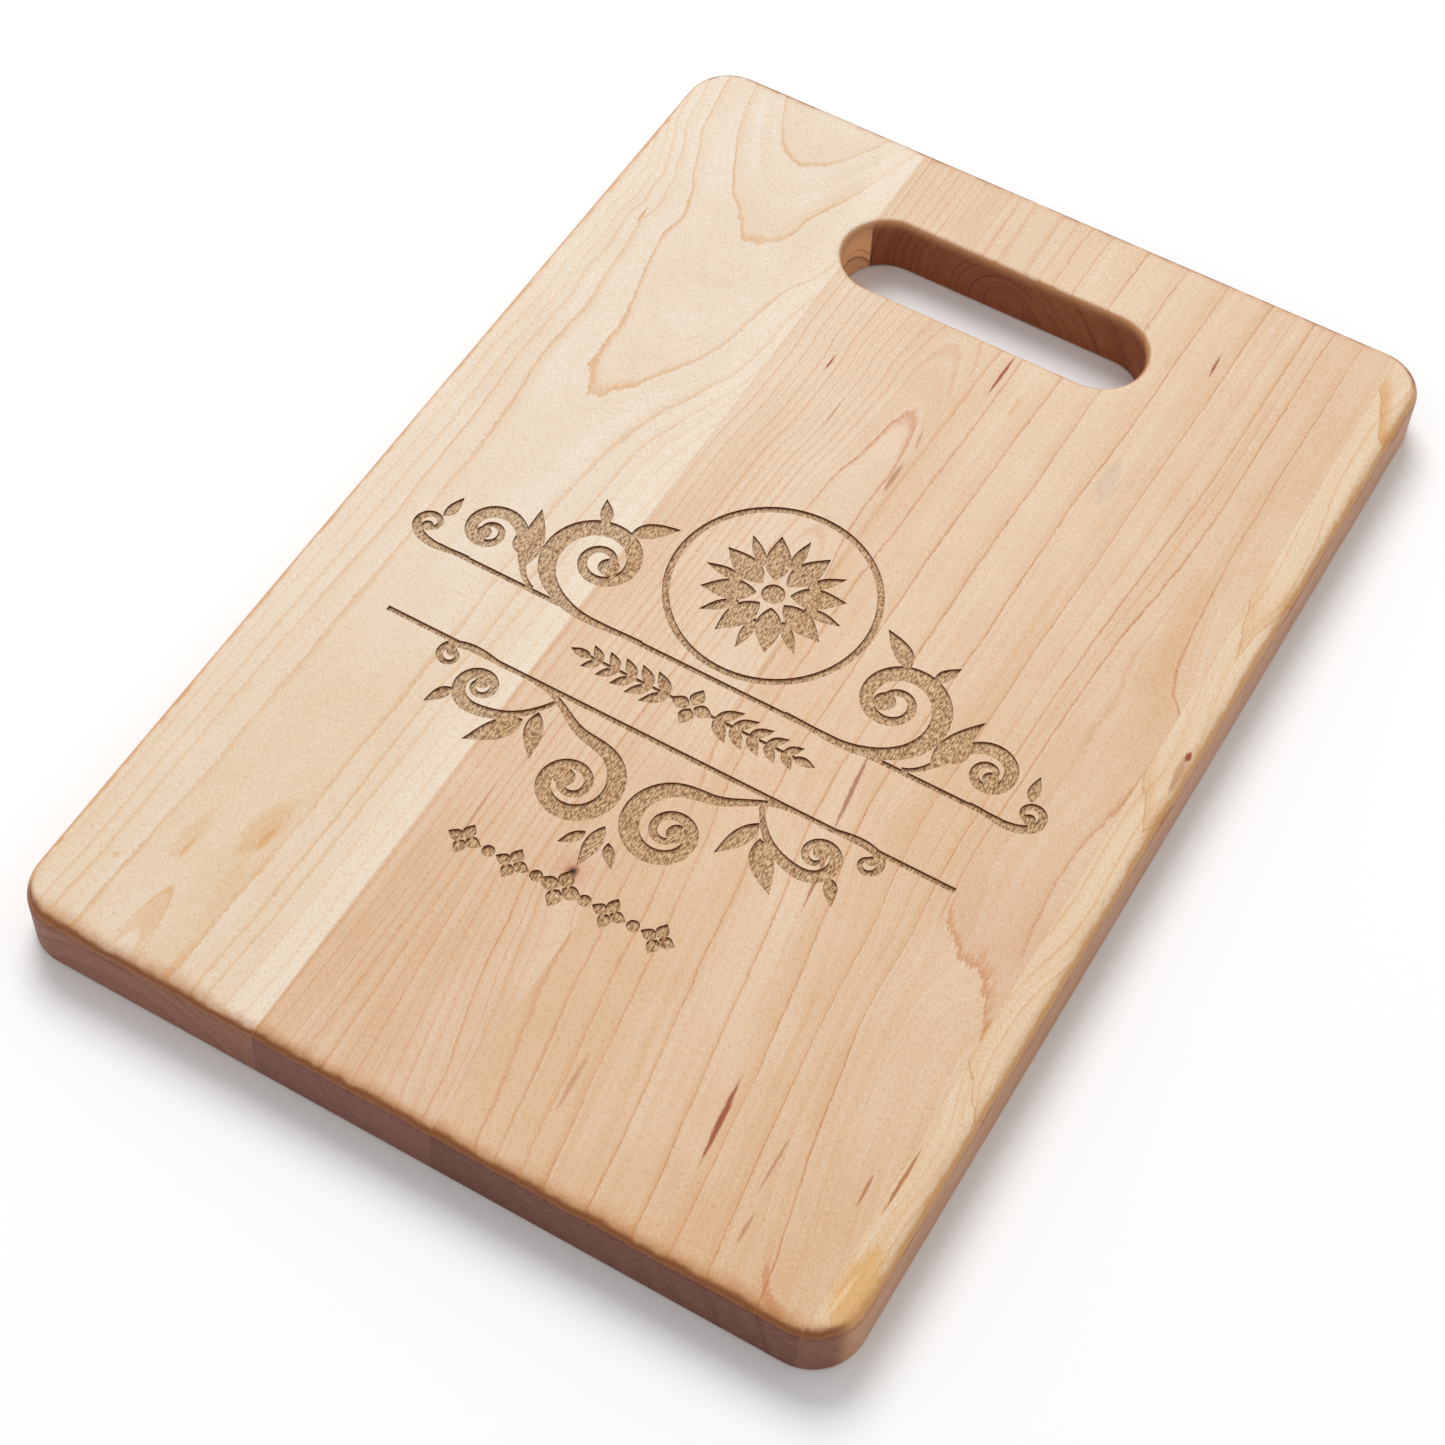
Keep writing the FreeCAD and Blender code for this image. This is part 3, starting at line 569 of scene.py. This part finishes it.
    def pale_figure(self, colour):
        """Paler wood along the seam and the left side, and a pointed amber tongue near the front."""
        pale = self.total(self.across, self.times(self.figure_noise(6, 90, 1.0, 0.5, 61.0), 3.0))
        paler = self.math("MAXIMUM", self.ramp(pale, 60, 70, 0.0, 0.36),
                          self.ramp(pale, 3, 20, 0.2, 0.0))
        colour = self.mix(paler, colour, PALER_WOOD)
        aside = self.less(self.across, POINT[0])
        tip = self.total(self.along, self.times(aside, aside, 0.9), self.times(self.ragged, 1.6),
                         -POINT[1])
        outline = self.times(self.ramp(self.math("ABSOLUTE", tip), 0.2, 1.6, 1.0, 0.0),
                             self.ramp(self.deep, 2.0, 6.0, 1.0, 0.0))
        colour = self.mix(self.times(outline, 0.35), colour, AMBER)
        within = self.times(self.inside(tip, -12.0, -0.5, 3.0), self.inside(aside, -2.5, 2.5, 2.0))
        return self.mix(self.times(within, 0.3), colour, AMBER)

    def pink_figure(self, colour):
        """A pin knot in a small swirl."""
        across = self.less(self.across, KNOT[0])
        along = self.times(self.less(self.along, KNOT[1]), 1 / 1.3)
        reach = self.math("SQRT", self.total(self.times(across, across), self.times(along, along)))
        reach = self.total(reach, self.times(self.ragged, 0.25))
        colour = self.mix(self.ramp(reach, 1.0, 6.5, 0.55, 0.0), colour, KNOT_SWIRL)
        colour = self.mix(self.ramp(reach, 1.0, 2.2, 0.85, 0.0), colour, KNOT_RING)
        return self.mix(self.ramp(reach, 0.6, 1.1, 1.0, 0.0), colour, KNOT_HEART)

    def tan_figure(self, colour):
        """A mauve patch that runs back from a jagged rusty front along the seam, and a wedge."""
        teeth = self.figure_noise(1.5, 14, 3.0, 0.7, 53.0)
        ahead = self.total(self.less(self.along, self.curve(self.across, PATCH_FRONT)),
                           self.times(self.ragged, 1.6), self.times(teeth, 3.0))
        patch = self.times(self.ramp(ahead, -0.4, 0.6), self.ramp(self.along, 112, 155, 1.0, 0.08),
                           self.ramp(self.across, 202.5, 206))
        rim = self.times(patch, self.ramp(ahead, 0.5, 3.6, 1.0, 0.0))
        streaks = self.times(self.ramp(self.figure_noise(1.1, 9, 2.0, 0.6, 51.0), -0.6, 0.5), patch,
                             self.ramp(ahead, 0.5, 10.0, 1.0, 0.0), self.ramp(self.across, 210, 226))
        rusty = self.math("MAXIMUM", self.times(rim, 0.6), self.times(streaks, 0.8))
        colour = self.mix(self.times(patch, 0.3), colour, PATCH_WOOD)
        colour = self.mix(rusty, colour, PATCH_RUST)
        corner = self.less(self.total(self.along, self.times(self.ragged, 1.2)),
                           self.curve(self.across, WEDGE_BACK))
        wedge = self.times(self.inside(corner, -2.6, 0.0, 0.5), self.ramp(self.across, 214.0, 215.5),
                           self.ramp(self.across, 222, 228, 1.0, 0.0))
        return self.mix(self.times(wedge, 0.55), colour, WEDGE_WOOD)

    def sapwood_figure(self, colour):
        """Amber tongues that run back from their tips."""
        bend = self.figure_noise(4, 14, 2.0, 0.6, 63.0)
        shallow = self.ramp(self.deep, 2.0, 4.0, 1.0, 0.0)
        for across, along, spread, filling in TONGUES:
            aside = self.math("ABSOLUTE", self.total(self.across, self.times(bend, 1.2), -across))
            back = self.less(self.total(self.along, self.times(self.ragged, 0.6)), along)
            within = self.times(self.less(back, self.times(aside, spread)), 1 / spread)
            outline = self.times(self.inside(within, 0.0, 0.2, 0.3), shallow, 0.45)
            colour = self.mix(outline, colour, TONGUE_LINE)
            filled = self.times(self.ramp(within, 0.0, 0.3), self.ramp(within, 1.0, 5.0, 1.0, 0.0))
            colour = self.mix(self.times(filled, shallow, filling), colour, AMBER)
        return colour


SPECKS_PER_METRE = 900.0


def glue_material(slot):
    """Cured glue, seen only as a thin brown line."""
    graph = Graph(slot)
    coordinates = graph.node("ShaderNodeTexCoord")
    speck = graph.noise(graph.scaled(coordinates.outputs["Object"], SPECKS_PER_METRE))
    colour = graph.mix(graph.ramp(speck, -0.6, 0.6), srgb(190, 140, 94), srgb(206, 162, 118))
    # On the end faces the glue takes a dark end grain colour, partly painted shade.
    facing_end = graph.math("ABSOLUTE", graph.split(coordinates.outputs["Normal"])[1])
    colour = graph.mix(graph.ramp(facing_end, 0.4, 0.9), colour, srgb(136, 90, 70))
    return graph.finish(colour, graph.ramp(speck, -1.0, 1.0, 0.42, 0.55), speck, 0.01, 0.4)


materials = {slot: Wood(slot, log).build() for slot, log in STAVES.items()}
materials["cured_glue"] = glue_material("cured_glue")
for subpart in frame["record"]["subparts"]:
    mesh = frame["nodes"][subpart["node"]].data
    mesh.materials.clear()
    mesh.materials.append(materials[subpart["material_slot"]])


# ---- floor, light and camera ----------------------------------------------------------------

def add(name, data, place=(0, 0, 0)):
    made = bpy.data.objects.new(name, data)
    made.location = Vector(place) * MM
    bpy.context.scene.collection.objects.link(made)
    return made


def make_floor(half=4000.0, under=-0.02):
    """A pale sheet, a hair under the board so that the two surfaces don't coincide."""
    mesh = bpy.data.meshes.new("floor")
    corners = [(x * half * MM, y * half * MM, under * MM)
               for x, y in ((-1, -1), (1, -1), (1, 1), (-1, 1))]
    mesh.from_pydata(corners, [], [(0, 1, 2, 3)])
    graph = Graph("floor_paper")
    coordinates = graph.node("ShaderNodeTexCoord")
    mottle = graph.noise(coordinates.outputs["Object"])
    tint = graph.mix(graph.ramp(mottle, -1.0, 1.0), srgb(250, 250, 250), srgb(252, 252, 252))
    mesh.materials.append(graph.finish(tint, 0.8, mottle, 0.0, 0.2))
    add("floor", mesh)


def area_light(name, place, width, power):
    lamp = bpy.data.lights.new(name, "AREA")
    lamp.shape = "DISK"
    lamp.size = width * MM
    lamp.energy = power
    made = add(name, lamp, place)
    made.rotation_euler = (-Vector(place)).to_track_quat("-Z", "Y").to_euler()


make_floor()
area_light("key", (-1300, 1700, 2900), 2000, 78)
world = bpy.data.worlds.new("studio")
world.use_nodes = True
world.node_tree.nodes["Background"].inputs["Strength"].default_value = 0.61
world.node_tree.nodes["Background"].inputs["Color"].default_value = (1, 1, 1, 1)
bpy.context.scene.world = world
bpy.context.scene.view_settings.view_transform = "Standard"

lens = bpy.data.cameras.new("camera")
lens.sensor_width = 36
lens.lens = 78.51
camera = add("camera", lens, (226.9, -456.6, 701.3))
camera.rotation_euler = [math.radians(angle) for angle in (34.748, -1.764, 30.142)]
bpy.context.scene.camera = camera
